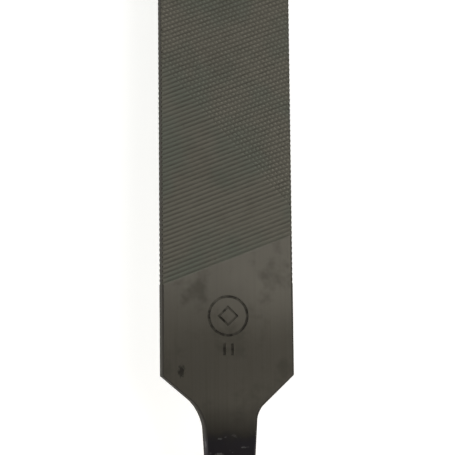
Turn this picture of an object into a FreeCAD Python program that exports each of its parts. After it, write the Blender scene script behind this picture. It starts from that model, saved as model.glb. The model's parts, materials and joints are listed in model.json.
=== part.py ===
import FreeCAD, Part
import math
import os

import Sketcher

# A flat file with its driven-on handle, in millimetres.
# The file and the handle are each drawn about the file's own long axis: +Y runs to the point, X lies across
# the broad faces and Z is square to them, with Y = 0 at the heel corners. All of it is then laid down as a file
# lies on a bench, on the point's lower edge and the belly of the handle, with the origin under the middle of
# its box.

SIZES = {
    # blade
    "blade_length": 250,
    "blade_width": 25,
    "blade_thickness": 6,
    "point_taper": 85,
    "point_width": 18,
    "point_thickness": 3.6,
    "corner_bevel": 0.35,
    # tang
    "tang_length": 70,
    "shoulder_drop": 6.65,
    "tang_root_width": 10.2,
    "tang_end_width": 3,
    "tang_end_thickness": 2.4,
    "tang_shift": 0.4,
    "left_neck_radius": 8,
    "right_neck_radius": 4,
    # ferrule
    "bare_tang": 17,
    "ferrule_length": 20,
    "ferrule_diameter": 21,
    "ferrule_wall": 1,
    "ferrule_rounding": 0.6,
    # handle
    "handle_length": 122,
    "collar_diameter": 24.6,
    "collar_rounding": 1.2,
    "waist_place": 38,
    "waist_diameter": 21.6,
    "belly_place": 84,
    "belly_diameter": 31,
    "dome_length": 7,
    "butt_diameter": 24,
    "butt_rounding": 3,
    # tang in its socket
    "socket_clearance": 0.1,
    "socket_relief": 2,
}

document = FreeCAD.newDocument("FlatFile")
sheet = document.addObject("Spreadsheet::Sheet", "Sizes")
for row, (alias, number) in enumerate(SIZES.items(), start=1):
    sheet.set(f"A{row}", alias.replace("_", " "))
    sheet.set(f"B{row}", str(number))
    sheet.setAlias(f"B{row}", alias)
document.recompute()


def bound(text):
    """Turn the size names in an expression into references to the sheet."""
    words = text.split(" ")
    return " ".join(f"Sizes.{word}" if word in SIZES else word for word in words)


def value(text):
    """The present value of an expression of size names."""
    return float(sheet.evalExpression(bound(text)))


def bind(feature, name, text):
    feature.setExpression(name, bound(text))


def plane(body, role):
    return next(item for item in body.Origin.OriginFeatures if item.Role == role)


def new_body(label):
    body = document.addObject("PartDesign::Body", label)
    body.Label = label
    return body


def new_sketch(body, name, role, offset=None):
    """An empty sketch on one of the body's own planes, moved off it by an expression if one is given."""
    sketch = body.newObject("Sketcher::SketchObject", name)
    sketch.AttachmentSupport = [(plane(body, role), "")]
    sketch.MapMode = "FlatFace"
    if offset:
        bind(sketch, ".AttachmentOffset.Base.z", offset)
    return sketch


def arc_centre(start, end, axis, coordinate):
    """The centre that is as far from both ends and has the given coordinate on one axis."""
    other = 1 - axis
    middle = [(a + b) / 2 for a, b in zip(start, end)]
    run = [b - a for a, b in zip(start, end)]
    centre = [0.0, 0.0]
    centre[axis] = coordinate
    centre[other] = middle[other] - run[axis] * (coordinate - middle[axis]) / run[other]
    return centre


def draw_outline(sketch, corners, arcs=()):
    """Draw a closed outline through corners given as pairs of expressions.

    arcs maps the number of a side to ("x" or "y", expression): the side is an arc whose centre has that
    coordinate. Every corner and every arc's centre is held by constraints bound to the sheet.
    """
    arcs = dict(arcs)
    places = [(value(x), value(y)) for x, y in corners]
    following = places[1:] + places[:1]
    first_points = []
    for side, (start, end) in enumerate(zip(places, following)):
        if side in arcs:
            axis = "xy".index(arcs[side][0])
            centre = arc_centre(start, end, axis, value(arcs[side][1]))
            angles = [math.atan2(y - centre[1], x - centre[0]) for x, y in (start, end)]
            forward = (angles[1] - angles[0]) % (2 * math.pi) < math.pi
            low, high = angles if forward else reversed(angles)
            circle = Part.Circle(
                FreeCAD.Vector(*centre, 0), FreeCAD.Vector(0, 0, 1), math.dist(start, centre)
            )
            sketch.addGeometry(Part.ArcOfCircle(circle, low, high), False)
            first_points.append(1 if forward else 2)
        else:
            line = Part.LineSegment(FreeCAD.Vector(*start, 0), FreeCAD.Vector(*end, 0))
            sketch.addGeometry(line, False)
            first_points.append(1)
    count = len(corners)
    for side in range(count):
        after = (side + 1) % count
        last_point = 3 - first_points[side]
        sketch.addConstraint(
            Sketcher.Constraint("Coincident", side, last_point, after, first_points[after])
        )
    for side, corner in enumerate(corners):
        for kind, text in zip(("DistanceX", "DistanceY"), corner):
            hold(sketch, kind, side, first_points[side], text)
    for side, (axis, text) in arcs.items():
        hold(sketch, "Distance" + axis.upper(), side, 3, text)


def hold(sketch, kind, side, point, text):
    """Hold one coordinate of a point of the outline at an expression."""
    index = sketch.addConstraint(
        Sketcher.Constraint(kind, -1, 1, side, point, value(text))
    )
    if text != "0":
        bind(sketch, f"Constraints[{index}]", text)


def edges_where(feature, test):
    """The names of a feature's edges whose middle passes a test."""
    named = enumerate(feature.Shape.Edges, start=1)
    found = [
        f"Edge{number}"
        for number, edge in named
        if test(edge.valueAt((edge.FirstParameter + edge.LastParameter) / 2), edge)
    ]
    if not found:
        raise RuntimeError(f"no edge of {feature.Name} is where it was looked for")
    return found


def dress(body, kind, name, base, edges, size_property, size):
    """Add a fillet or chamfer on some edges of the body's last feature."""
    feature = body.newObject(f"PartDesign::{kind}", name)
    feature.Base = (base, edges)
    bind(feature, size_property, size)
    document.recompute()
    return feature


def make_blade():
    """Blade, shoulders and tang: one forging."""
    body = new_body("file_blade")

    # Seen from above: parallel for two thirds of its length, then drawn in to the point by two flat arcs.
    # The tang is a wedge that stands a little to one side of the blade's middle.
    plan = new_sketch(body, "plan", "XY_Plane")
    corners = [
        ("blade_width / 2", "0"),
        ("blade_width / 2", "blade_length - point_taper"),
        ("point_width / 2", "blade_length"),
        ("- point_width / 2", "blade_length"),
        ("- blade_width / 2", "blade_length - point_taper"),
        ("- blade_width / 2", "0"),
        ("tang_shift - tang_root_width / 2", "- shoulder_drop"),
        ("tang_shift - tang_end_width / 2", "- tang_length"),
        ("tang_shift + tang_end_width / 2", "- tang_length"),
        ("tang_shift + tang_root_width / 2", "- shoulder_drop"),
    ]
    taper_start = ("y", "blade_length - point_taper")
    draw_outline(plan, corners, {1: taper_start, 3: taper_start})
    blank = body.newObject("PartDesign::Pad", "blank")
    blank.Profile = plan
    blank.SideType = "Symmetric"
    bind(blank, "Length", "blade_thickness")
    document.recompute()

    for name, side, radius in (
        ("left_neck", -1, "left_neck_radius"),
        ("right_neck", 1, "right_neck_radius"),
    ):
        root = FreeCAD.Vector(
            value("tang_shift") + side * value("tang_root_width") / 2, -value("shoulder_drop"), 0
        )
        edges = edges_where(body.Tip, lambda middle, edge: middle.distanceToPoint(root) < 0.01)
        dress(body, "Fillet", name, body.Tip, edges, "Radius", radius)

    # Seen from the side: what is cut away above the point's arc and above the tang's slope.
    above = "blade_thickness"
    side_waste = {
        "point_waste": (
            [
                ("blade_length - point_taper", "blade_thickness / 2"),
                ("blade_length", "point_thickness / 2"),
                ("blade_length + 1", "point_thickness / 2"),
                ("blade_length + 1", above),
                ("blade_length - point_taper", above),
            ],
            {0: ("x", "blade_length - point_taper")},
        ),
        "tang_waste": (
            [
                ("- shoulder_drop", "blade_thickness / 2"),
                ("- tang_length", "tang_end_thickness / 2"),
                ("- tang_length - 1", "tang_end_thickness / 2"),
                ("- tang_length - 1", above),
                ("- shoulder_drop", above),
            ],
            {},
        ),
    }
    for name, (outline, arcs) in side_waste.items():
        waste = new_sketch(body, name, "YZ_Plane")
        draw_outline(waste, outline, arcs)
        cut = body.newObject("PartDesign::Pocket", name + "_cut")
        cut.Profile = waste
        cut.SideType = "Symmetric"
        bind(cut, "Length", "blade_width * 2")
        document.recompute()
        both = body.newObject("PartDesign::Mirrored", name + "_both")
        both.Originals = [cut]
        both.MirrorPlane = (plane(body, "XY_Plane"), [""])
        body.Tip = both
        document.recompute()

    # The corners along the parallel part are broken, so that the teeth run out before the edge.
    def long_corner(middle, edge):
        parallel = 0 < middle.y < value("blade_length - point_taper")
        straight = abs(edge.tangentAt(edge.FirstParameter).y) > 0.999
        return parallel and straight and abs(middle.z) > value("blade_thickness") / 4

    corners = edges_where(body.Tip, long_corner)
    dress(body, "Chamfer", "broken_corners", body.Tip, corners, "Size", "corner_bevel")
    return body


def make_ferrule():
    """Metal tube on the handle's mouth, drawn about its own axis with the mouth at Y = 0."""
    body = new_body("ferrule")
    section = new_sketch(body, "section", "XY_Plane")
    outer = "ferrule_diameter / 2"
    inner = "ferrule_diameter / 2 - ferrule_wall"
    corners = [
        (inner, "0"),
        (outer, "0"),
        (outer, "- ferrule_length"),
        (inner, "- ferrule_length"),
    ]
    draw_outline(section, corners)
    turn(body, section)

    def outer_rim(middle, edge):
        return abs(middle.y) < 0.01 and abs(edge.BoundBox.XMax - value(outer)) < 0.01

    rim = edges_where(body.Tip, outer_rim)
    dress(body, "Fillet", "rounded_rim", body.Tip, rim, "Radius", "ferrule_rounding")
    return body


def make_handle():
    """Turned wooden handle, drawn about its own axis with the mouth at Y = 0."""
    body = new_body("handle")
    profile = new_sketch(body, "profile", "XY_Plane")
    # Two equal arcs meet half way from the waist to the belly.
    between = ("( waist_diameter + belly_diameter ) / 4", "- ( waist_place + belly_place ) / 2")
    corners = [
        ("0", "0"),
        ("ferrule_diameter / 2 - ferrule_wall", "0"),
        ("ferrule_diameter / 2 - ferrule_wall", "- ferrule_length"),
        ("collar_diameter / 2", "- ferrule_length"),
        ("waist_diameter / 2", "- waist_place"),
        between,
        ("belly_diameter / 2", "- belly_place"),
        ("butt_diameter / 2", "dome_length - handle_length"),
        ("0", "- handle_length"),
    ]
    arcs = {
        3: ("y", "- waist_place"),
        4: ("y", "- waist_place"),
        5: ("y", "- belly_place"),
        6: ("y", "- belly_place"),
        7: ("x", "0"),
    }
    draw_outline(profile, corners, arcs)
    turn(body, profile)

    def rim_at(place, diameter):
        def test(middle, edge):
            on_place = abs(middle.y + value(place)) < 0.01
            return on_place and abs(edge.BoundBox.XMax - value(diameter) / 2) < 0.01

        return test

    for name, place, diameter, radius in (
        ("rounded_collar", "ferrule_length", "collar_diameter", "collar_rounding"),
        ("rounded_butt", "handle_length - dome_length", "butt_diameter", "butt_rounding"),
    ):
        edges = edges_where(body.Tip, rim_at(place, diameter))
        dress(body, "Fillet", name, body.Tip, edges, "Radius", radius)

    # The socket is burnt in to the tang's own wedge, a clearance larger all round and a little deeper.
    share = "( bare_tang - shoulder_drop ) / ( tang_length - shoulder_drop )"
    mouth = (
        f"tang_root_width + ( tang_end_width - tang_root_width ) * {share}",
        f"blade_thickness + ( tang_end_thickness - blade_thickness ) * {share}",
    )
    bottom = ("tang_end_width", "tang_end_thickness")
    depth = "tang_length - bare_tang + socket_relief"
    ends = []
    for name, size, offset in (("mouth", mouth, None), ("bottom", bottom, depth)):
        end = new_sketch(body, "socket_" + name, "XZ_Plane", offset)
        across, through = (f"( {text} ) / 2 + socket_clearance" for text in size)
        draw_outline(
            end,
            [
                (across, through),
                (f"- ( {across} )", through),
                (f"- ( {across} )", f"- ( {through} )"),
                (across, f"- ( {through} )"),
            ],
        )
        ends.append(end)
    socket = body.newObject("PartDesign::SubtractiveLoft", "socket")
    socket.Profile = ends[0]
    socket.Sections = [ends[1]]
    document.recompute()
    return body


def turn(body, section):
    """Revolve a section about the Y axis."""
    turned = body.newObject("PartDesign::Revolution", "turned")
    turned.Profile = section
    turned.ReferenceAxis = (section, ["V_Axis"])
    turned.Angle = 360
    document.recompute()


def lay_down(blade, on_tang):
    """Tip everything about X until the point's lower edge and the handle's belly lie in one plane, and set
    that plane at Z = 0 with the origin under the middle of the box."""
    belly_fall = value("( belly_diameter - point_thickness ) / 2")
    rest_length = value("blade_length + bare_tang + belly_place")
    tilt = math.degrees(math.asin(belly_fall / rest_length))
    tipped = FreeCAD.Placement(
        FreeCAD.Vector(0, 0, 0), FreeCAD.Rotation(FreeCAD.Vector(1, 0, 0), -tilt)
    )
    seat = FreeCAD.Placement(
        FreeCAD.Vector(value("tang_shift"), -value("bare_tang"), 0), FreeCAD.Rotation()
    )
    blade.Placement = tipped
    for body in on_tang:
        body.Placement = tipped.multiply(seat)
    document.recompute()
    pieces = [blade, *on_tang]
    box = Part.makeCompound([body.Shape for body in pieces]).optimalBoundingBox(False, False)
    to_origin = FreeCAD.Placement(
        FreeCAD.Vector(-box.Center.x, -box.Center.y, -box.ZMin), FreeCAD.Rotation()
    )
    for body in pieces:
        body.Placement = to_origin.multiply(body.Placement)
    document.recompute()
    return tilt


def check_document(bodies):
    for item in document.Objects:
        if "Invalid" in item.State or "Error" in item.State:
            raise RuntimeError(f"{item.Name} failed: {item.State}")
    for body in bodies:
        if body.Shape.isNull() or not body.Shape.isValid():
            raise RuntimeError(f"{body.Label} has no valid shape")
        if len(body.Shape.Solids) != 1:
            raise RuntimeError(f"{body.Label} is not one solid")


blade = make_blade()
ferrule = make_ferrule()
handle = make_handle()
pieces = [blade, ferrule, handle]
tilt = lay_down(blade, [ferrule, handle])
check_document(pieces)

os.makedirs("parts", exist_ok=True)
for piece in pieces:
    piece.Shape.exportStep(os.path.join("parts", piece.Label + ".step"))

# The numbers that the mounts and the joint are written from.
axis = blade.Placement.Rotation.multVec(FreeCAD.Vector(0, 1, 0))
normal = blade.Placement.Rotation.multVec(FreeCAD.Vector(0, 0, 1))
face_middle = FreeCAD.Vector(
    0, value("( blade_length - point_taper ) / 2"), value("blade_thickness / 2")
)
under_middle = FreeCAD.Vector(face_middle.x, face_middle.y, -face_middle.z)
grip = FreeCAD.Vector(value("tang_shift"), -value("bare_tang + belly_place"), 0)
print("tilt", round(tilt, 4), "long axis", axis, "face normal", normal)
print("upper face", blade.Placement.multVec(face_middle))
print("lower face", blade.Placement.multVec(under_middle))
print("grip", blade.Placement.multVec(grip))
for piece in pieces:
    box = piece.Shape.optimalBoundingBox(False, False)
    print(piece.Label, "volume", round(piece.Shape.Volume, 1), box)
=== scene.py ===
"""A flat file lying on a bench: a toothed blade with its tang, a ferrule and a turned handle."""

import json
import math

import bpy
from bpy.props import FloatProperty, FloatVectorProperty, PointerProperty
from mathutils import Matrix, Vector


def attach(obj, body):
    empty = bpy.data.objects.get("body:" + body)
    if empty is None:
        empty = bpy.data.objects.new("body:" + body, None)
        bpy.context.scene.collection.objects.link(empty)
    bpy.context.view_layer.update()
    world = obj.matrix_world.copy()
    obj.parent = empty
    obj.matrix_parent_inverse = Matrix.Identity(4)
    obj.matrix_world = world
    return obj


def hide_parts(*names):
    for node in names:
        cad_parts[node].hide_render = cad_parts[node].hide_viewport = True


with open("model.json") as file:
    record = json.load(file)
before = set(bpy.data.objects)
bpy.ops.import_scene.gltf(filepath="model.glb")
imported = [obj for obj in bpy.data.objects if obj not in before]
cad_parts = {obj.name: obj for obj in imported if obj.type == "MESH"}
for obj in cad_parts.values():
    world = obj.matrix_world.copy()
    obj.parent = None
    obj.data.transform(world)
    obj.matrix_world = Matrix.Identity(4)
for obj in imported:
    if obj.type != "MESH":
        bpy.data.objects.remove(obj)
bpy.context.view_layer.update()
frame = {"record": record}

bl_info = {
    "name": "Flat File",
    "version": (1, 0, 0),
    "blender": (4, 5, 0),
    "location": "View3D > Sidebar > Flat File",
    "description": "Builds a flat file with its handle around a packed frame",
    "category": "Object",
}

MM = 0.001
TOUCH = 0.005 * MM  # closer than this, two points are the same
PAST = 1 * MM  # how far a cutting tool reaches past the face that it cuts
ALL_ROUND = 1e6  # a stretch so long that a pattern doesn't change that way
FACES_UP = 0.97  # on the tang, a facet whose normal has more Z than this is a broad face's
FACES_ASIDE = 0.3  # on the blade, a facet whose normal has more X than this is a narrow side's
TIPPED = {mount["name"]: mount for mount in frame["record"]["mounts"]}["upper_face"]


# --------------------------------------------------------------------------------------------------
# Sizes and colours
# --------------------------------------------------------------------------------------------------


def length(name, description, millimetres):
    return FloatProperty(
        name=name, description=description, default=millimetres * MM, unit="LENGTH", precision=5
    )


def angle(name, description, degrees):
    return FloatProperty(
        name=name, description=description, default=math.radians(degrees), subtype="ANGLE"
    )


def position(name, description, millimetres):
    metres = [MM * size for size in millimetres]
    return FloatVectorProperty(name=name, description=description, default=metres, unit="LENGTH")


def number(name, description, value):
    return FloatProperty(name=name, description=description, default=value)


def linear(hex_colour):
    """An sRGB hex colour as the linear colour that shaders take."""
    channels = [int(hex_colour[k : k + 2], 16) / 255 for k in (1, 3, 5)]
    curve = [c / 12.92 if c <= 0.04045 else ((c + 0.055) / 1.055) ** 2.4 for c in channels]
    return (*curve, 1)


def paint(name, description, hex_colour):
    return FloatVectorProperty(
        name=name,
        description=description,
        default=linear(hex_colour),
        size=4,
        subtype="COLOR",
        min=0,
        max=1,
    )


class BladeSizes(bpy.types.PropertyGroup):
    length: length("Length", "Heel corners to the point", 250)
    width: length("Width", "Across the faces, before the point", 25)
    thickness: length("Thickness", "Face to face, before the point", 6)
    taper: length("Taper", "How far back from the point the blade is drawn in", 85)
    point_width: length("Point width", "Width at the point", 18)
    point_thickness: length("Point thickness", "Thickness at the point", 3.6)
    corner: length("Corner", "Width of the broken corners", 0.35)
    shoulder_drop: length("Shoulder drop", "Heel corners to the root of the tang", 6.65)
    tang_length: length("Tang length", "Heel corners to the end of the tang", 70)
    tang_root: length("Tang root", "Width of the tang at its root", 10.2)
    tang_end: length("Tang end", "Width of the tang at its end", 3)
    tang_end_thickness: length("Tang end thickness", "Thickness of the tang at its end", 2.4)
    tang_shift: length("Tang shift", "How far the tang stands to one side", 0.4)
    left_neck: length("Left neck", "Radius between the left shoulder and the tang", 8)
    right_neck: length("Right neck", "Radius between the right shoulder and the tang", 4)


class ToothSizes(bpy.types.PropertyGroup):
    upcut_pitch: length("Upcut pitch", "Between two cuts of the row that starts at the heel", 0.815)
    upcut_depth: length("Upcut depth", "Depth of that row", 0.14)
    upcut_angle: angle("Upcut angle", "Slope of that row across the blade", 20.8)
    upcut_start: length("Upcut start", "Heel corners to the middle of the first cut", 21.75)
    overcut_pitch: length("Overcut pitch", "Between two cuts of the crossing row", 0.72)
    overcut_depth: length("Overcut depth", "Depth of the crossing row", 0.115)
    overcut_angle: angle("Overcut angle", "Slope of the crossing row", -48)
    overcut_start: length("Overcut start", "Heel corners to the middle of its first cut", 45.6)
    edge_pitch: length("Edge pitch", "Between two cuts on the narrow edges", 0.95)
    edge_depth: length("Edge depth", "Depth of the cuts on the edges", 0.12)
    edge_angle: angle("Edge angle", "Slope of the cuts on the edges", 15)
    edge_start: length("Edge start", "Heel corners to the first cut on the edges", 18)
    front_share: number("Front share", "Part of a pitch taken by a tooth's steep front", 0.33)
    skin: length("Skin", "How far the tips lie under the ground face", 0.01)


class StampSizes(bpy.types.PropertyGroup):
    ring_place: length("Ring place", "Heel corners to the middle of the ring", 11.2)
    ring: length("Ring", "Diameter of the ring", 7.8)
    line: length("Line", "Width of the stamped lines", 0.5)
    depth: length("Depth", "Depth of the stamped lines", 0.2)
    diamond: length("Diamond", "Width of the diamond inside the ring", 4)
    diamond_line: length("Diamond line", "Width of its line, measured corner to corner", 0.6)
    bar_place: length("Bar place", "Heel corners to the middle of the grade bars", 4.9)
    bar_height: length("Bar height", "Height of the grade bars", 2.2)
    bar_gap: length("Bar gap", "Middle to middle of the two grade bars", 1.5)


class HandleSizes(bpy.types.PropertyGroup):
    bare_tang: length("Bare tang", "Heel corners to the mouth of the handle", 17)
    ferrule_length: length("Ferrule length", "Length of the brass tube", 20)
    ferrule_diameter: length("Ferrule diameter", "Outside of the brass tube", 21)
    ferrule_wall: length("Ferrule wall", "Wall of the brass tube", 1)
    ferrule_rounding: length("Ferrule rounding", "Radius on the tube's front rim", 0.6)
    length: length("Length", "Mouth to butt", 122)
    collar: length("Collar", "Diameter just behind the ferrule", 24.6)
    collar_rounding: length("Collar rounding", "Radius on the collar's front", 1.2)
    waist_place: length("Waist place", "Mouth to the waist", 38)
    waist: length("Waist", "Diameter of the waist", 21.6)
    belly_place: length("Belly place", "Mouth to the belly", 84)
    belly: length("Belly", "Largest diameter", 31)
    dome: length("Dome", "Length of the rounded end", 7)
    butt: length("Butt", "Diameter where the rounded end starts", 24)
    score_place: length("Score place", "Mouth to the first scored line", 24)
    score_gap: length("Score gap", "Between the two scored lines", 2.2)
    score_width: length("Score width", "Width of a scored line", 0.6)
    score_depth: length("Score depth", "Depth of a scored line", 0.35)
    dimple: length("Dimple", "Radius of the punch marks that hold the ferrule", 1.5)
    dimple_place: length("Dimple place", "Mouth to the punch marks", 12.5)
    dimple_depth: length("Dimple depth", "Depth of the punch marks", 0.5)
    clearance: length("Clearance", "Room round the tang in its socket", 0.1)
    socket_relief: length("Socket relief", "How far the socket is deeper than the tang", 2)


class Finishes(bpy.types.PropertyGroup):
    ground: paint("Ground steel", "Blasted steel of the teeth", "#6d6a60")
    polished: paint("Polished heel", "Ground steel of the heel just behind the teeth", "#7f7b71")
    oiled: paint("Oiled steel", "Old oil and swarf in the bottom of the cuts", "#46443d")
    olive: paint("Olive tint", "Cool patches of the oil film", "#66685e")
    heel: paint("Bare heel", "Dull ground steel of the heel", "#5d5950")
    smudge: paint("Smudge", "Dirt on the bare heel", "#4f4c44")
    # The same colour also darkens the neck towards the tang.
    ink: paint("Ink", "Old ink and oil in the stamped lines, and the darker neck", "#2b2926")
    # Painted shade: the narrow sides get this dark colour for the shade that falls on them.
    side: paint("Painted side shade", "Painted shade on the narrow sides", "#33312c")
    scale: paint("Forge scale", "Black scale on the tang", "#333134")
    scuff: paint("Scuff", "Bare metal where the scale is rubbed", "#6f6f6e")
    brass: paint("Brass", "Drawn brass tube", "#b3935a")
    brass_film: paint("Brass film", "Dull film on the tube", "#75603a")
    beech_pale: paint("Beech, pale", "Early wood", "#b27c45")
    beech_dark: paint("Beech, dark", "Late wood", "#8a5729")
    beech_fleck: paint("Beech, fleck", "Short dark rays of the wood", "#6e4020")
    floor: paint("Floor", "White table under the file", "#f4f4f2")
    floor_shade: paint("Floor shade", "Its slightly darker clouds", "#e2e2de")


class StageSizes(bpy.types.PropertyGroup):
    camera_place: position(
        "Camera place", "From the heel's middle, along the file's own axes", (-35.17, 0.12, 285.2)
    )
    camera_pitch: angle("Camera pitch", "Turn towards the point", 5.66)
    camera_yaw: angle("Camera yaw", "Turn towards the right edge", -7.06)
    camera_roll: angle("Camera roll", "Turn about the line of sight", -0.59)
    lens: number("Lens", "Focal length in millimetres", 119.2)
    floor_reach: length("Floor reach", "Width of the floor", 16000)
    softbox: length("Softbox", "Width of each of the two lights", 3000)
    left_light: position("Left light", "Where the left softbox stands", (-1800, -500, 1100))
    left_power: number("Left power", "Watts of the left softbox", 46)
    right_light: position("Right light", "Where the right softbox stands", (1800, 600, 1200))
    right_power: number("Right power", "Watts of the right softbox", 60)
    walls: paint("Walls", "The room beyond the table", "#ffffff")
    ceiling: paint("Ceiling", "The room overhead", "#656564")


class FlatFile(bpy.types.PropertyGroup):
    blade: PointerProperty(type=BladeSizes)
    teeth: PointerProperty(type=ToothSizes)
    stamp: PointerProperty(type=StampSizes)
    handle: PointerProperty(type=HandleSizes)
    finish: PointerProperty(type=Finishes)
    stage: PointerProperty(type=StageSizes)


# --------------------------------------------------------------------------------------------------
# Working by hand
# --------------------------------------------------------------------------------------------------


def file_place(settings):
    """The matrix that lays the file, drawn along +Y from its heel, where the frame has it."""
    normal = Vector(TIPPED["axis"])
    turn = Matrix.Rotation(-math.atan2(normal.y, normal.z), 4, "X")
    blade = settings.blade
    face_middle = Vector((0, (blade.length - blade.taper) / 2, blade.thickness / 2))
    return Matrix.Translation(Vector(TIPPED["pos_m"]) - turn @ face_middle) @ turn


def handle_place(settings):
    """The same for the handle and ferrule, drawn about their own axis with the mouth at Y = 0."""
    seat = Vector((settings.blade.tang_shift, -settings.handle.bare_tang, 0))
    return file_place(settings) @ Matrix.Translation(seat)


def only(piece):
    """Make a piece the one that operators act on."""
    if bpy.context.object and bpy.context.object.mode != "OBJECT":
        bpy.ops.object.mode_set(mode="OBJECT")
    bpy.ops.object.select_all(action="DESELECT")
    piece.select_set(True)
    bpy.context.view_layer.objects.active = piece


def settle(piece, place=Matrix.Identity(4)):
    """Move a piece to its place and put that place in its mesh."""
    only(piece)
    piece.matrix_world = place @ piece.matrix_world
    bpy.ops.object.transform_apply(location=True, rotation=True, scale=True)


def pick(piece, kind, test):
    """Open a piece in edit mode with the faces, edges or points selected that pass a test."""
    only(piece)
    mesh = piece.data
    for part in (*mesh.vertices, *mesh.edges, *mesh.polygons):
        part.select = False
    points = mesh.vertices
    if kind == "FACE":
        for face in mesh.polygons:
            face.select = test(face.center)
    elif kind == "EDGE":
        for edge in mesh.edges:
            edge.select = test((points[edge.vertices[0]].co + points[edge.vertices[1]].co) / 2)
    else:
        for point in points:
            point.select = test(point.co)
    bpy.ops.object.mode_set(mode="EDIT")
    bpy.ops.mesh.select_mode(type=kind)


def pick_all(piece):
    only(piece)
    bpy.ops.object.mode_set(mode="EDIT")
    bpy.ops.mesh.select_all(action="SELECT")


def finish_with(piece, kind, **settings):
    """Add a modifier and apply it."""
    only(piece)
    modifier = piece.modifiers.new(kind.lower(), kind)
    for name, value in settings.items():
        setattr(modifier, name, value)
    bpy.ops.object.modifier_apply(modifier=modifier.name)


def cut(piece, *tools):
    """Take each tool's shape out of a piece and throw the tool away."""
    for tool in tools:
        finish_with(piece, "BOOLEAN", object=tool, operation="DIFFERENCE", solver="MANIFOLD")
        bpy.data.objects.remove(tool)


def block(name, size, centre):
    bpy.ops.mesh.primitive_cube_add(size=1, location=centre, scale=size)
    piece = bpy.context.object
    piece.name = name
    settle(piece)
    return piece


def turned_over(piece):
    """A copy of a piece turned half round the file's long axis."""
    only(piece)
    bpy.ops.object.duplicate()
    copy = bpy.context.object
    settle(copy, Matrix.Rotation(math.pi, 4, "Y"))
    return copy


def arc_fall(run, reach, drop):
    """How far an arc that starts level has fallen after a run, if it falls by drop in its reach."""
    radius = (reach * reach + drop * drop) / (2 * drop)
    return radius - math.sqrt(radius * radius - run * run)


# --------------------------------------------------------------------------------------------------
# Materials
# --------------------------------------------------------------------------------------------------


# What a kind of node is set to, unless a call says otherwise.
USUAL = {"MapRange": {"interpolation_type": "SMOOTHSTEP"}, "Mix": {"data_type": "RGBA"}}


def add(tree, kind, inputs, **settings):
    """Add a node with its settings and links. Inputs are values, outputs or nodes, in the order of
    the node's sockets or by name; a node stands for its first output in use."""
    node = tree.nodes.new("ShaderNode" + kind)
    for name, value in {**USUAL.get(kind, {}), **settings}.items():
        setattr(node, name, value)
    pairs = inputs.items() if isinstance(inputs, dict) else enumerate(inputs)
    for socket, value in pairs:
        if isinstance(value, bpy.types.Node):
            value = next(output for output in value.outputs if output.enabled)
        if isinstance(value, bpy.types.NodeSocket):
            tree.links.new(value, node.inputs[socket])
        else:
            node.inputs[socket].default_value = value
    return node


def new_material(name):
    material = bpy.data.materials.new(name)
    material.use_nodes = True
    tree = material.node_tree
    tree.nodes.clear()
    return material, tree


def millimetres(tree, place, stretch=(1, 1, 1)):
    """Object coordinates along the piece's own axes, in millimetres, each divided by a stretch."""
    coordinates = add(tree, "TexCoord", {}).outputs["Object"]
    turned = (coordinates, place.to_translation(), place.to_euler())
    own = add(tree, "Mapping", turned, vector_type="TEXTURE")
    scale = [1 / (MM * size) for size in stretch]
    return add(tree, "VectorMath", (own, scale), operation="MULTIPLY")


def oil_film(tree, here, patches, smudges, finish):
    """Colour of the blasted steel: an oil film in cool and warm patches, with dirt and specks."""
    olive = add(tree, "MapRange", (patches, 0.42, 0.6))
    film = add(tree, "Mix", {"Factor": olive, "A": finish.ground, "B": finish.olive})
    dots = add(tree, "TexNoise", {"Vector": here, "Scale": 1 / 0.9, "Detail": 1})
    specks = add(tree, "MapRange", (dots, 0.74, 0.8, 0, 0.7))
    dirt = add(tree, "Math", (smudges, specks), operation="MAXIMUM")
    return add(tree, "Mix", {"Factor": dirt, "A": film, "B": finish.heel})


def oil_in_cuts(tree, place, upcut_angle):
    """How much old oil shows: most at the bottom of a cut. One cut holds a little more than its
    neighbours for a few millimetres at a time."""
    depth = add(tree, "Attribute", {}, attribute_name="cut_depth").outputs["Fac"]
    deepest = add(tree, "Math", (depth, 2.2), operation="POWER")
    along_cuts = millimetres(tree, place @ Matrix.Rotation(upcut_angle, 4, "Z"), (3, 0.8, 3))
    rows = add(tree, "TexNoise", {"Vector": along_cuts, "Scale": 1})
    held = add(tree, "MapRange", (rows, 0.3, 0.7, 0.65, 0.95))
    return add(tree, "Math", (deepest, held), operation="MULTIPLY")


def old_ink(tree, settings, place):
    """A ragged spot of old ink 3.6 mm in from the left heel corner, about 1.2 mm by 2 mm."""
    blade = settings.blade
    beside = (3.6 * MM - blade.width / 2, 0.9 * MM, blade.thickness / 2)
    middle = place @ Matrix.Translation(beside)
    spot = millimetres(tree, middle, (0.65, 1, 2))
    reach = add(tree, "VectorMath", (spot,), operation="LENGTH")
    edge = {"Vector": spot, "Scale": 1.6, "Detail": 4, "Roughness": 0.65}
    frayed = add(tree, "Math", (add(tree, "TexNoise", edge), 3, reach), operation="MULTIPLY_ADD")
    return add(tree, "MapRange", (frayed, 2.8, 2.0, 0, 0.75))


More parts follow.
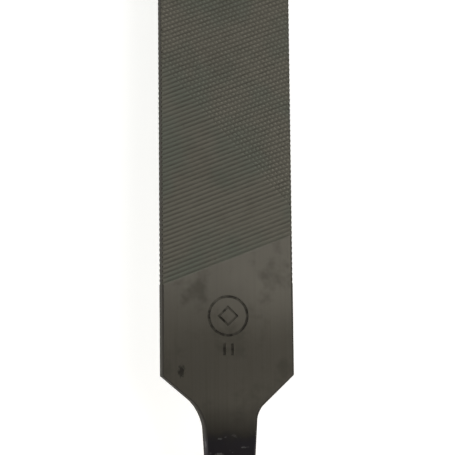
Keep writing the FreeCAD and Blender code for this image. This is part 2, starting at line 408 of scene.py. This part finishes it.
def bare_heel(tree, here, along, marks, smudges, oil, ink, finish):
    """Colour of the untoothed heel: lighter just behind the teeth and darker towards the
    shoulders, with dirt in the grinding marks and oil in the stamped lines."""
    # Lighter just behind the teeth, darker towards the shoulders.
    shoulder_darkening = add(tree, "MapRange", (along, 20, 5, 0.15, 0.9))
    scratched = add(tree, "MapRange", (marks, 0.4, 0.75, -0.03, 0.05))
    dull = add(tree, "Math", (shoulder_darkening, scratched), operation="ADD")
    clean = add(tree, "Mix", {"Factor": dull, "A": finish.polished, "B": finish.heel})
    soiled = add(tree, "Math", (smudges, 1.8), operation="MULTIPLY")
    dirty = add(tree, "Mix", {"Factor": soiled, "A": clean, "B": finish.smudge})
    # The stamped lines have kept their oil in some places and lost it in others, 1.5 mm away.
    uneven = add(tree, "TexNoise", {"Vector": here, "Scale": 1 / 1.5, "Detail": 2})
    kept = add(tree, "MapRange", (uneven, 0.38, 0.6, 0.35, 0.9))
    stamped = add(tree, "Math", (oil, kept), operation="MULTIPLY")
    black = add(tree, "Math", (stamped, ink), operation="MAXIMUM")
    return add(tree, "Mix", {"Factor": black, "A": dirty, "B": finish.ink})


def forge_scale(tree, place, finish):
    """Colour of the tang: black scale, rubbed bare in spots of about 1 mm."""
    spots = {"Vector": millimetres(tree, place, (1.7, 1.2, 1.7)), "Scale": 1, "Detail": 4}
    rubbed = add(tree, "MapRange", (add(tree, "TexNoise", spots), 0.6, 0.7, 0, 0.75))
    return add(tree, "Mix", {"Factor": rubbed, "A": finish.scale, "B": finish.scuff})


def hardened_tool_steel(settings):
    """Ground and hardened tool steel under a film of old oil: dark satin faces, cuts darker than
    the tooth tips, painted shade on the narrow sides, and black forge scale on the tang."""
    material, tree = new_material("hardened_tool_steel")
    finish = settings.finish
    place = file_place(settings)
    here = millimetres(tree, place)
    axes = add(tree, "SeparateXYZ", (here,)).outputs
    along = axes["Y"]
    side = add(tree, "Attribute", {}, attribute_name="shaded_narrow_side").outputs["Fac"]
    # The film varies in patches of about 15 mm and the dirt in smudges of about 6 mm. Grinding
    # marks run lengthwise, about 0.4 mm apart and 30 mm long.
    patches = add(tree, "TexNoise", {"Vector": here, "Scale": 1 / 15, "Detail": 3})
    dirt = add(tree, "TexNoise", {"Vector": here, "Scale": 1 / 6, "Detail": 3, "Roughness": 0.6})
    smudges = add(tree, "MapRange", (dirt, 0.5, 0.75, 0, 0.3))
    lengthwise = millimetres(tree, place, (0.4, 30, 0.4))
    ground = {"Vector": lengthwise, "Scale": 1, "Detail": 3, "Roughness": 0.6}
    marks = add(tree, "TexNoise", ground)
    oil = oil_in_cuts(tree, place, settings.teeth.upcut_angle)

    # The heel starts at the first cut, which slopes across the blade.
    slope = -math.tan(settings.teeth.upcut_angle)
    level = add(tree, "Math", (axes["X"], slope, along), operation="MULTIPLY_ADD")
    start = settings.teeth.upcut_start / MM
    heel = add(tree, "MapRange", (level, start + 0.2, start - 0.2))
    film = oil_film(tree, here, patches, smudges, finish)
    toothed = add(tree, "Mix", {"Factor": oil, "A": film, "B": finish.oiled})
    ink = old_ink(tree, settings, place)
    bare = bare_heel(tree, here, along, marks, smudges, oil, ink, finish)
    faced = add(tree, "Mix", {"Factor": heel, "A": toothed, "B": bare})

    # The neck darkens until the scale starts raggedly, 10 to 13 mm below the heel corners.
    neck = add(tree, "MapRange", (along, -3, -15))
    # Painted shade: the narrow sides round the outline and the neck's walls are darkened where they
    # lie in shade.
    side_shaded = add(tree, "Mix", {"Factor": side, "A": faced, "B": finish.side})
    darkened = add(tree, "Mix", {"Factor": neck, "A": side_shaded, "B": finish.ink})
    ragged = add(tree, "TexNoise", {"Vector": here, "Scale": 0.5, "Detail": 3})
    edge = add(tree, "Math", (ragged, 3, along), operation="MULTIPLY_ADD")
    scaled = add(tree, "MapRange", (edge, -8.5, -11.5))
    scale = forge_scale(tree, place, finish)
    colour = add(tree, "Mix", {"Factor": scaled, "A": darkened, "B": scale})

    # Faces are satin, with the heel smoother than the teeth. The narrow sides, which carry painted
    # shade, are not metal and are rough, so that they hardly shine.
    blasted = add(tree, "Math", (patches, heel), operation="SUBTRACT")
    satin = add(tree, "MapRange", (blasted, -0.7, 0.7, 0.38, 0.66))
    roughness = add(tree, "Math", (satin, side), operation="MAXIMUM")
    metal = add(tree, "Math", (1, side), operation="SUBTRACT")
    grit = add(tree, "TexNoise", {"Vector": here, "Scale": 9})
    grain = add(tree, "Math", (grit, 0.5, marks), operation="MULTIPLY_ADD")
    steel = {
        "Base Color": colour,
        "Metallic": metal,
        "Roughness": roughness,
        "Specular IOR Level": 0.15,
        "Normal": add(tree, "Bump", {"Height": grain, "Distance": 0.003 * MM}),
    }
    add(tree, "OutputMaterial", (add(tree, "BsdfPrincipled", steel),))
    return material


def drawn_brass(settings):
    """Drawn brass tube, polished on the lathe and handled since: fine rings and a patchy film."""
    material, tree = new_material("drawn_brass")
    finish = settings.finish
    place = handle_place(settings)
    # Lathe marks are 0.12 mm apart and run all the way round.
    lathe = millimetres(tree, place, (ALL_ROUND, 0.12, ALL_ROUND))
    turned = {"Vector": lathe, "Scale": 1, "Detail": 3, "Roughness": 0.7}
    rings = add(tree, "TexNoise", turned)
    here = millimetres(tree, place)
    patches = add(tree, "TexNoise", {"Vector": here, "Scale": 1 / 6, "Detail": 4})
    film = add(tree, "MapRange", (patches, 0.45, 0.75, 0, 0.55))
    brass = {
        "Base Color": add(tree, "Mix", {"Factor": film, "A": finish.brass, "B": finish.brass_film}),
        "Metallic": 1,
        "Roughness": add(tree, "MapRange", (patches, 0.3, 0.7, 0.2, 0.38)),
        "Normal": add(tree, "Bump", {"Height": rings, "Distance": 0.004 * MM}),
    }
    add(tree, "OutputMaterial", (add(tree, "BsdfPrincipled", brass),))
    return material


def varnished_beech(settings):
    """Turned beech under clear varnish: faint rings, straight grain and short dark flecks."""
    material, tree = new_material("varnished_beech")
    finish = settings.finish
    place = handle_place(settings)
    # The tree's own middle lay outside the billet, so the rings cross the handle as long arcs,
    # 2.6 mm apart. At a scale of 1 the node's rings are 2 pi / 20 apart.
    pith = place @ Matrix.Translation((-34 * MM, 0, -22 * MM)) @ Matrix.Rotation(0.03, 4, "X")
    rings = {
        "Vector": millimetres(tree, pith, (1, 14, 1)),
        "Scale": 2 * math.pi / 20 / 2.6,
        "Distortion": 2.4,
        "Detail": 2,
        "Detail Scale": 0.35,
    }
    wave = add(
        tree, "TexWave", rings, wave_type="RINGS", rings_direction="Y", wave_profile="SAW"
    )
    growth = wave.outputs["Fac"]
    # Fibres are 0.35 mm wide and 14 mm long, and flecks 0.3 mm wide and 2.4 mm long.
    straight = millimetres(tree, place, (0.35, 14, 0.35))
    drawn_out = {"Vector": straight, "Scale": 1, "Detail": 3, "Roughness": 0.6}
    fibres = add(tree, "TexNoise", drawn_out)
    short = millimetres(tree, place, (0.3, 2.4, 0.3))
    spindles = {"Vector": short, "Scale": 1, "Detail": 1, "Roughness": 0.4}
    flecks = add(tree, "TexNoise", spindles)
    grown = add(tree, "Math", (growth, 0.28), operation="MULTIPLY")
    grain = add(tree, "Math", (fibres, 0.75, grown), operation="MULTIPLY_ADD")
    late = add(tree, "MapRange", (grain, 0.2, 0.8))
    wood = add(tree, "Mix", {"Factor": late, "A": finish.beech_pale, "B": finish.beech_dark})
    rays = add(tree, "MapRange", (flecks, 0.6, 0.72, 0, 0.8))
    pores = add(tree, "Math", (fibres, flecks), operation="ADD")
    beech = {
        "Base Color": add(tree, "Mix", {"Factor": rays, "A": wood, "B": finish.beech_fleck}),
        "Roughness": 0.42,
        "Coat Weight": 0.55,
        "Coat Roughness": 0.16,
        "Normal": add(tree, "Bump", {"Height": pores, "Distance": 0.02 * MM}),
    }
    add(tree, "OutputMaterial", (add(tree, "BsdfPrincipled", beech),))
    return material


def lit_acrylic(settings):
    """Matt white acrylic over a light table: evenly bright, so that only the faintest shadow shows.
    It glows more beyond the reach of the softboxes, so that it looks as white there."""
    material, tree = new_material("lit_acrylic")
    finish = settings.finish
    coordinates = add(tree, "TexCoord", {}).outputs["Object"]
    cloudy = add(tree, "TexNoise", {"Vector": coordinates, "Scale": 3})
    shade = add(tree, "Math", (cloudy, 0.06), operation="MULTIPLY")
    reach = add(tree, "VectorMath", (coordinates,), operation="LENGTH")
    cloud = {"Factor": shade, "A": finish.floor, "B": finish.floor_shade}
    acrylic = {
        "Base Color": add(tree, "Mix", cloud),
        "Roughness": 0.9,
        "Emission Color": finish.floor,
        "Emission Strength": add(tree, "MapRange", (reach, 0.7, 2.2, 0.48, 0.8)),
    }
    add(tree, "OutputMaterial", (add(tree, "BsdfPrincipled", acrylic),))
    return material


# --------------------------------------------------------------------------------------------------
# Blade
# --------------------------------------------------------------------------------------------------


def forge_blank(blade):
    """The blade as a straight bar, with the shoulders and the tang drawn out of its heel end."""
    blank = block(
        "forged_file", (blade.width, blade.length, blade.thickness), (0, blade.length / 2, 0)
    )
    pick(blank, "FACE", lambda middle: abs(middle.y) < TOUCH)
    root = (blade.tang_shift, -blade.shoulder_drop, 0)
    bpy.ops.mesh.extrude_region_move(TRANSFORM_OT_translate={"value": root})
    bpy.ops.transform.resize(value=(blade.tang_root / blade.width, 1, 1), center_override=root)
    end = (blade.tang_shift, -blade.tang_length, 0)
    drawn_out = blade.tang_length - blade.shoulder_drop
    bpy.ops.mesh.extrude_region_move(TRANSFORM_OT_translate={"value": (0, -drawn_out, 0)})
    slimmer = (blade.tang_end / blade.tang_root, 1, blade.tang_end_thickness / blade.thickness)
    bpy.ops.transform.resize(value=slimmer, center_override=end)
    for side, radius in ((-1, blade.left_neck), (1, blade.right_neck)):
        round_neck(blank, blade, side, radius)
    sharp = math.radians(60)
    finish_with(
        blank, "BEVEL", width=blade.corner, segments=2, limit_method="ANGLE", angle_limit=sharp
    )
    return blank


def round_neck(blank, blade, side, radius):
    """Round the inner corner between a shoulder and the tang."""
    corner = Vector((blade.tang_shift + side * blade.tang_root / 2, -blade.shoulder_drop, 0))
    run_in = blade.width / 2 - abs(corner.x)
    narrowing = (blade.tang_root - blade.tang_end) / 2 / (blade.tang_length - blade.shoulder_drop)
    turn = math.pi / 2 - math.atan2(blade.shoulder_drop, run_in) - math.atan(narrowing)
    pick(blank, "EDGE", lambda middle: (middle - corner).length < TOUCH)
    bpy.ops.mesh.bevel(
        offset=radius * math.tan(turn / 2), segments=10, affect="EDGES", offset_type="OFFSET"
    )
    bpy.ops.object.mode_set(mode="OBJECT")


def chisel_comb(name, pitch, depth, slope, front_share, width, span):
    """A solid whose underside is a row of saw teeth: what one run of chisel cuts takes out of a
    face at Z = 0. The cuts slope across it, and the next one is always straight up the blade."""
    step = pitch / math.cos(slope)
    bpy.ops.mesh.primitive_plane_add(size=1, location=(0, step / 2, 0))
    comb = bpy.context.object
    comb.name = name
    comb.scale = (width, step, 1)
    settle(comb)
    valley = step * front_share
    pick_all(comb)
    bpy.ops.mesh.bisect(plane_co=(0, valley, 0), plane_no=(0, 1, 0))
    pick(comb, "EDGE", lambda middle: (middle - Vector((0, valley, 0))).length < TOUCH)
    bpy.ops.transform.translate(value=(0, 0, -depth))
    rise = width * math.tan(slope)
    for side in (-1, 1):
        pick(comb, "VERT", lambda point: point.x * side > 0)
        bpy.ops.transform.translate(value=(0, side * rise / 2, 0))
    finish_with(
        comb,
        "ARRAY",
        count=math.ceil((span + abs(rise) / 2) / step) + 1,
        use_relative_offset=False,
        use_constant_offset=True,
        constant_offset_displace=(0, step, 0),
        use_merge_vertices=True,
        merge_threshold=TOUCH,
    )
    pick_all(comb)
    bpy.ops.mesh.extrude_region_move(TRANSFORM_OT_translate={"value": (0, 0, 4 * depth)})
    bpy.ops.transform.resize(value=(1, 1, 0), center_override=(0, 0, 4 * depth))
    bpy.ops.mesh.select_all(action="SELECT")
    bpy.ops.mesh.normals_make_consistent(inside=False)
    bpy.ops.object.mode_set(mode="OBJECT")
    return comb


def cut_faces(blank, blade, teeth, name, pitch, depth, slope, start):
    """Cut one row of teeth into both broad faces, the far one as the near one turned over."""
    span = blade.length - start
    comb = chisel_comb(name, pitch, depth, slope, teeth.front_share, blade.width + 2 * PAST, span)
    settle(comb, Matrix.Translation((0, start, blade.thickness / 2 - teeth.skin)))
    cut(blank, turned_over(comb), comb)


def cut_edges(blank, blade, teeth):
    """Cut a single row of teeth into each narrow edge."""
    comb = chisel_comb(
        "edge_cuts",
        teeth.edge_pitch,
        teeth.edge_depth,
        teeth.edge_angle,
        teeth.front_share,
        blade.thickness + 2 * PAST,
        blade.length - teeth.edge_start,
    )
    edge = Matrix.Translation((blade.width / 2 - teeth.skin, teeth.edge_start, 0))
    settle(comb, edge @ Matrix.Rotation(math.pi / 2, 4, "Y"))
    cut(blank, turned_over(comb), comb)


def stamp_heel(blank, blade, stamp):
    """Strike a plain device into the upper face: a ring round a diamond, over two grade bars."""
    face = blade.thickness / 2
    ring_middle = Vector((0, stamp.ring_place, face))
    outer = prism("ring", 48, stamp.ring / 2, 2 * stamp.depth, ring_middle)
    inner = prism("ring_core", 48, stamp.ring / 2 - stamp.line, 3 * stamp.depth, ring_middle)
    cut(outer, inner)
    diamond = prism("diamond", 4, stamp.diamond / 2, 2 * stamp.depth, ring_middle)
    inside = stamp.diamond / 2 - stamp.diamond_line
    core = prism("diamond_core", 4, inside, 3 * stamp.depth, ring_middle)
    cut(diamond, core)
    bars = [
        block(
            "grade_bar",
            (stamp.line, stamp.bar_height, 2 * stamp.depth),
            (side * stamp.bar_gap / 2, stamp.bar_place, face),
        )
        for side in (-1, 1)
    ]
    cut(blank, outer, diamond, *bars)


def prism(name, sides, radius, height, middle):
    bpy.ops.mesh.primitive_cylinder_add(
        vertices=sides, radius=radius, depth=height, location=middle
    )
    piece = bpy.context.object
    piece.name = name
    settle(piece)
    return piece


def mark_surfaces(blank, blade, teeth):
    """Note how deep each point lies in a cut or a stamped line, from 0 at the ground face to 1 at
    the bottom, and which facets belong to the narrow sides, which get painted shade."""
    depths = []
    for point in blank.data.vertices:
        sunk = min(blade.thickness / 2 - abs(point.co.z), blade.width / 2 - abs(point.co.x))
        depths.append(min(1, max(0, sunk / teeth.upcut_depth)) if point.co.y > 0 else 0)
    layer = blank.data.attributes.new("cut_depth", "FLOAT", "POINT")
    layer.data.foreach_set("value", depths)
    sides = [float(is_side(facet, blade)) for facet in blank.data.polygons]
    layer = blank.data.attributes.new("shaded_narrow_side", "FLOAT", "FACE")
    layer.data.foreach_set("value", sides)


def is_side(facet, blade):
    """True for a facet of the walls and corners round the file's outline."""
    if facet.center.y < 0:
        return abs(facet.normal.z) < FACES_UP
    at_the_edge = abs(facet.center.x) > blade.width / 2 - blade.corner
    return at_the_edge and abs(facet.normal.x) > FACES_ASIDE


def draw_in_point(blank, blade):
    """Draw the last third of the blade in to the point, in width and thickness, on flat arcs."""
    start = blade.length - blade.taper
    for point in blank.data.vertices:
        run = point.co.y - start
        if run > 0:
            run = min(run, blade.taper)
            thinner = arc_fall(run, blade.taper, (blade.thickness - blade.point_thickness) / 2)
            narrower = arc_fall(run, blade.taper, (blade.width - blade.point_width) / 2)
            point.co.z -= math.copysign(thinner, point.co.z)
            point.co.x *= 1 - narrower / (blade.width / 2)


class FLATFILE_OT_blade(bpy.types.Operator):
    """Forge, cut, stamp and draw in the file, from point to tang"""

    bl_idname = "flat_file.blade"
    bl_label = "File blade"

    def execute(self, context):
        settings = context.scene.flat_file
        blade, teeth = settings.blade, settings.teeth
        blank = forge_blank(blade)
        stamp_heel(blank, blade, settings.stamp)
        cut_faces(
            blank, blade, teeth, "upcut", teeth.upcut_pitch, teeth.upcut_depth,
            teeth.upcut_angle, teeth.upcut_start,
        )
        cut_faces(
            blank, blade, teeth, "overcut", teeth.overcut_pitch, teeth.overcut_depth,
            teeth.overcut_angle, teeth.overcut_start,
        )
        cut_edges(blank, blade, teeth)
        mark_surfaces(blank, blade, teeth)
        draw_in_point(blank, blade)
        blank.data.materials.clear()
        blank.data.materials.append(hardened_tool_steel(settings))
        settle(blank, file_place(settings))
        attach(blank, "file")
        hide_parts("file_blade")
        return {"FINISHED"}


# --------------------------------------------------------------------------------------------------
# Handle and ferrule
# --------------------------------------------------------------------------------------------------


def turn_on_lathe(name, profile, sides=96):
    """Turn a closed solid about the Y axis through (distance behind the mouth, radius) points,
    front end first."""
    (place, radius), *rest = profile
    bpy.ops.mesh.primitive_circle_add(
        vertices=sides,
        radius=radius,
        fill_type="NGON",
        location=(0, -place, 0),
        rotation=(math.pi / 2, 0, 0),
    )
    piece = bpy.context.object
    piece.name = name
    settle(piece)
    pick_all(piece)
    for next_place, next_radius in rest:
        back = {"value": (0, place - next_place, 0)}
        bpy.ops.mesh.extrude_region_move(TRANSFORM_OT_translate=back)
        size = next_radius / radius
        bpy.ops.transform.resize(value=(size, 1, size), center_override=(0, -next_place, 0))
        place, radius = next_place, next_radius
    bpy.ops.mesh.select_all(action="SELECT")
    bpy.ops.mesh.normals_make_consistent(inside=False)
    bpy.ops.object.mode_set(mode="OBJECT")
    return piece


def arc_points(start, end, level_at, count):
    """Points after the start of an arc between two profile points that is level at a place."""
    (x1, r1), (x2, r2) = start, end
    centre = ((x1 * x1 - x2 * x2) - 2 * level_at * (x1 - x2) + r1 * r1 - r2 * r2) / (2 * (r1 - r2))
    radius = math.hypot(x1 - level_at, r1 - centre)
    over = 1 if r1 > centre else -1
    places = [x1 + (x2 - x1) * step / count for step in range(1, count + 1)]
    return [(x, centre + over * math.sqrt(radius * radius - (x - level_at) ** 2)) for x in places]


def rounded_rim(place, outer, rounding):
    """The front edge of a turned piece, rounded over a quarter circle."""
    turns = [math.radians(degrees) for degrees in range(90, -1, -15)]
    return [
        (place + rounding * (1 - math.sin(turn)), outer - rounding * (1 - math.cos(turn)))
        for turn in turns
    ]


def handle_profile(handle):
    """The grip's outline: collar, waist, belly and rounded butt."""
    collar = (handle.ferrule_length, handle.collar / 2)
    waist = (handle.waist_place, handle.waist / 2)
    belly = (handle.belly_place, handle.belly / 2)
    between = ((waist[0] + belly[0]) / 2, (waist[1] + belly[1]) / 2)
    butt = (handle.length - handle.dome, handle.butt / 2)
    tenon = handle.ferrule_diameter / 2 - handle.ferrule_wall
    front = collar[0] + handle.collar_rounding
    slope = [point for point in arc_points(collar, waist, waist[0], count=18) if point[0] > front]
    sides = scored([*rounded_rim(collar[0], slope[0][1], handle.collar_rounding), *slope], handle)
    sides += arc_points(waist, between, waist[0], count=10)
    sides += arc_points(between, belly, belly[0], count=10)
    sides += arc_points(belly, butt, belly[0], count=14)
    dome = []
    dome_steps = 10
    dome_radius = (butt[1] ** 2 + handle.dome**2) / (2 * handle.dome)
    opening = math.asin(butt[1] / dome_radius)
    for step in range(1, dome_steps):
        turn = opening * (1 - step / dome_steps)
        depth = handle.length - dome_radius * (1 - math.cos(turn))
        dome.append((depth, dome_radius * math.sin(turn)))
    return [(0, tenon), (handle.ferrule_length, tenon), *sides, *dome]


def scored(points, handle):
    """Two fine lines scored round the collar, as turners do to finish it."""
    line, depth = handle.score_width, handle.score_depth
    result = list(points)
    for place in (handle.score_place, handle.score_place + handle.score_gap):
        before = [point for point in result if point[0] < place - line]
        after = [point for point in result if point[0] > place + line]
        (x1, r1), (x2, r2) = before[-1], after[0]
        groove = []
        for spot, sunk in ((place - line / 2, 0), (place, depth), (place + line / 2, 0)):
            groove.append((spot, r1 + (r2 - r1) * (spot - x1) / (x2 - x1) - sunk))
        result = before + groove + after
    return result


def socket_block(settings):
    """The tang's wedge, a clearance larger all round."""
    blade, handle = settings.blade, settings.handle
    depth = blade.tang_length - handle.bare_tang + handle.socket_relief
    share = (handle.bare_tang - blade.shoulder_drop) / (blade.tang_length - blade.shoulder_drop)
    mouth = [
        root + (end - root) * share + 2 * handle.clearance
        for root, end in (
            (blade.tang_root, blade.tang_end),
            (blade.thickness, blade.tang_end_thickness),
        )
    ]
    bottom = [size + 2 * handle.clearance for size in (blade.tang_end, blade.tang_end_thickness)]
    wedge = block("socket", (mouth[0], depth, mouth[1]), (0, -depth / 2, 0))
    pick(wedge, "FACE", lambda middle: middle.y < -depth + TOUCH)
    slimmer = (bottom[0] / mouth[0], 1, bottom[1] / mouth[1])
    bpy.ops.transform.resize(value=slimmer, center_override=(0, -depth, 0))
    pick(wedge, "FACE", lambda middle: middle.y > -TOUCH)
    bpy.ops.mesh.extrude_region_move(TRANSFORM_OT_translate={"value": (0, PAST, 0)})
    bpy.ops.object.mode_set(mode="OBJECT")
    return wedge


def punch_marks(handle):
    """Round-nosed punches at four places round the ferrule."""
    marks = []
    for turn in (45, 135, 225, 315):
        reach = handle.ferrule_diameter / 2 + handle.dimple - handle.dimple_depth
        across, up = reach * math.cos(math.radians(turn)), reach * math.sin(math.radians(turn))
        middle = (across, -handle.dimple_place, up)
        bpy.ops.mesh.primitive_uv_sphere_add(
            segments=20, ring_count=12, radius=handle.dimple, location=middle
        )
        marks.append(bpy.context.object)
        settle(marks[-1])
    return marks


class FLATFILE_OT_ferrule(bpy.types.Operator):
    """Turn the brass ferrule"""

    bl_idname = "flat_file.ferrule"
    bl_label = "Ferrule"

    def execute(self, context):
        settings = context.scene.flat_file
        handle = settings.handle
        outer = handle.ferrule_diameter / 2
        rim = rounded_rim(0, outer, handle.ferrule_rounding)
        tube = turn_on_lathe("brass_ferrule", [*rim, (handle.ferrule_length, outer)])
        inner = outer - handle.ferrule_wall
        bore = turn_on_lathe("bore", [(-PAST, inner), (handle.ferrule_length + PAST, inner)])
        cut(tube, bore, *punch_marks(handle))
        only(tube)
        bpy.ops.object.shade_smooth_by_angle(angle=math.radians(30))
        tube.data.materials.clear()
        tube.data.materials.append(drawn_brass(settings))
        settle(tube, handle_place(settings))
        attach(tube, "grip")
        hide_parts("ferrule")
        return {"FINISHED"}


class FLATFILE_OT_handle(bpy.types.Operator):
    """Turn the beech handle and burn in its socket"""

    bl_idname = "flat_file.handle"
    bl_label = "Handle"

    def execute(self, context):
        settings = context.scene.flat_file
        grip = turn_on_lathe("beech_handle", handle_profile(settings.handle))
        cut(grip, socket_block(settings))
        only(grip)
        bpy.ops.object.shade_smooth_by_angle(angle=math.radians(30))
        grip.data.materials.clear()
        grip.data.materials.append(varnished_beech(settings))
        settle(grip, handle_place(settings))
        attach(grip, "grip")
        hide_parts("handle")
        return {"FINISHED"}


# --------------------------------------------------------------------------------------------------
# Stage
# --------------------------------------------------------------------------------------------------


def add_camera(settings):
    stage = settings.stage
    turn = (
        Matrix.Rotation(stage.camera_roll, 4, "Z")
        @ Matrix.Rotation(stage.camera_yaw, 4, "Y")
        @ Matrix.Rotation(stage.camera_pitch, 4, "X")
    )
    bpy.ops.object.camera_add()
    camera = bpy.context.object
    camera.matrix_world = file_place(settings) @ Matrix.Translation(stage.camera_place) @ turn
    camera.data.lens = stage.lens
    camera.data.clip_start = 10 * MM
    bpy.context.scene.camera = camera


def add_softbox(place, size, power):
    """A square studio light that faces the file."""
    bpy.ops.object.light_add(type="AREA", location=place)
    light = bpy.context.object
    light.data.size = size
    light.data.energy = power
    light.rotation_euler = (-Vector(place)).to_track_quat("-Z", "Y").to_euler()


def set_room(stage):
    """A plain room: white walls under a dim ceiling."""
    world = bpy.data.worlds.new("room")
    world.use_nodes = True
    tree = world.node_tree
    tree.nodes.clear()
    direction = add(tree, "TexCoord", {}).outputs["Generated"]
    up = add(tree, "SeparateXYZ", (direction,)).outputs["Z"]
    overhead = add(tree, "MapRange", (up, 0.05, 0.9))
    colour = add(tree, "Mix", {"Factor": overhead, "A": stage.walls, "B": stage.ceiling})
    add(tree, "OutputWorld", (add(tree, "Background", (colour, 1)),))
    bpy.context.scene.world = world


class FLATFILE_OT_stage(bpy.types.Operator):
    """Set the floor, the lights and the camera"""

    bl_idname = "flat_file.stage"
    bl_label = "Stage"

    def execute(self, context):
        settings = context.scene.flat_file
        stage = settings.stage
        add_camera(settings)
        bpy.ops.mesh.primitive_plane_add(size=stage.floor_reach)
        floor = bpy.context.object
        floor.name = "floor"
        floor.data.materials.append(lit_acrylic(settings))
        add_softbox(stage.left_light, stage.softbox, stage.left_power)
        add_softbox(stage.right_light, stage.softbox, stage.right_power)
        set_room(stage)
        context.scene.view_settings.view_transform = "Standard"
        return {"FINISHED"}


class FLATFILE_PT_panel(bpy.types.Panel):
    """Lists the file's pieces"""

    bl_idname = "FLATFILE_PT_panel"
    bl_label = "Flat File"
    bl_space_type = "VIEW_3D"
    bl_region_type = "UI"
    bl_category = "Flat File"

    def draw(self, context):
        settings = context.scene.flat_file
        for operator in OPERATORS:
            self.layout.operator(operator.bl_idname)
        for part in ("blade", "teeth", "stamp", "handle", "finish", "stage"):
            group = getattr(settings, part)
            box = self.layout.box()
            for name in group.bl_rna.properties.keys():
                if name not in ("rna_type", "name"):
                    box.prop(group, name)


OPERATORS = (FLATFILE_OT_stage, FLATFILE_OT_blade, FLATFILE_OT_ferrule, FLATFILE_OT_handle)
GROUPS = (BladeSizes, ToothSizes, StampSizes, HandleSizes, Finishes, StageSizes, FlatFile)


def register():
    for made in (*GROUPS, *OPERATORS, FLATFILE_PT_panel):
        bpy.utils.register_class(made)
    bpy.types.Scene.flat_file = PointerProperty(type=FlatFile)


def unregister():
    del bpy.types.Scene.flat_file
    for made in reversed((*GROUPS, *OPERATORS, FLATFILE_PT_panel)):
        bpy.utils.unregister_class(made)


def main():
    register()
    bpy.ops.flat_file.stage()
    bpy.ops.flat_file.blade()
    bpy.ops.flat_file.ferrule()
    bpy.ops.flat_file.handle()


if __name__ == "__main__":
    main()
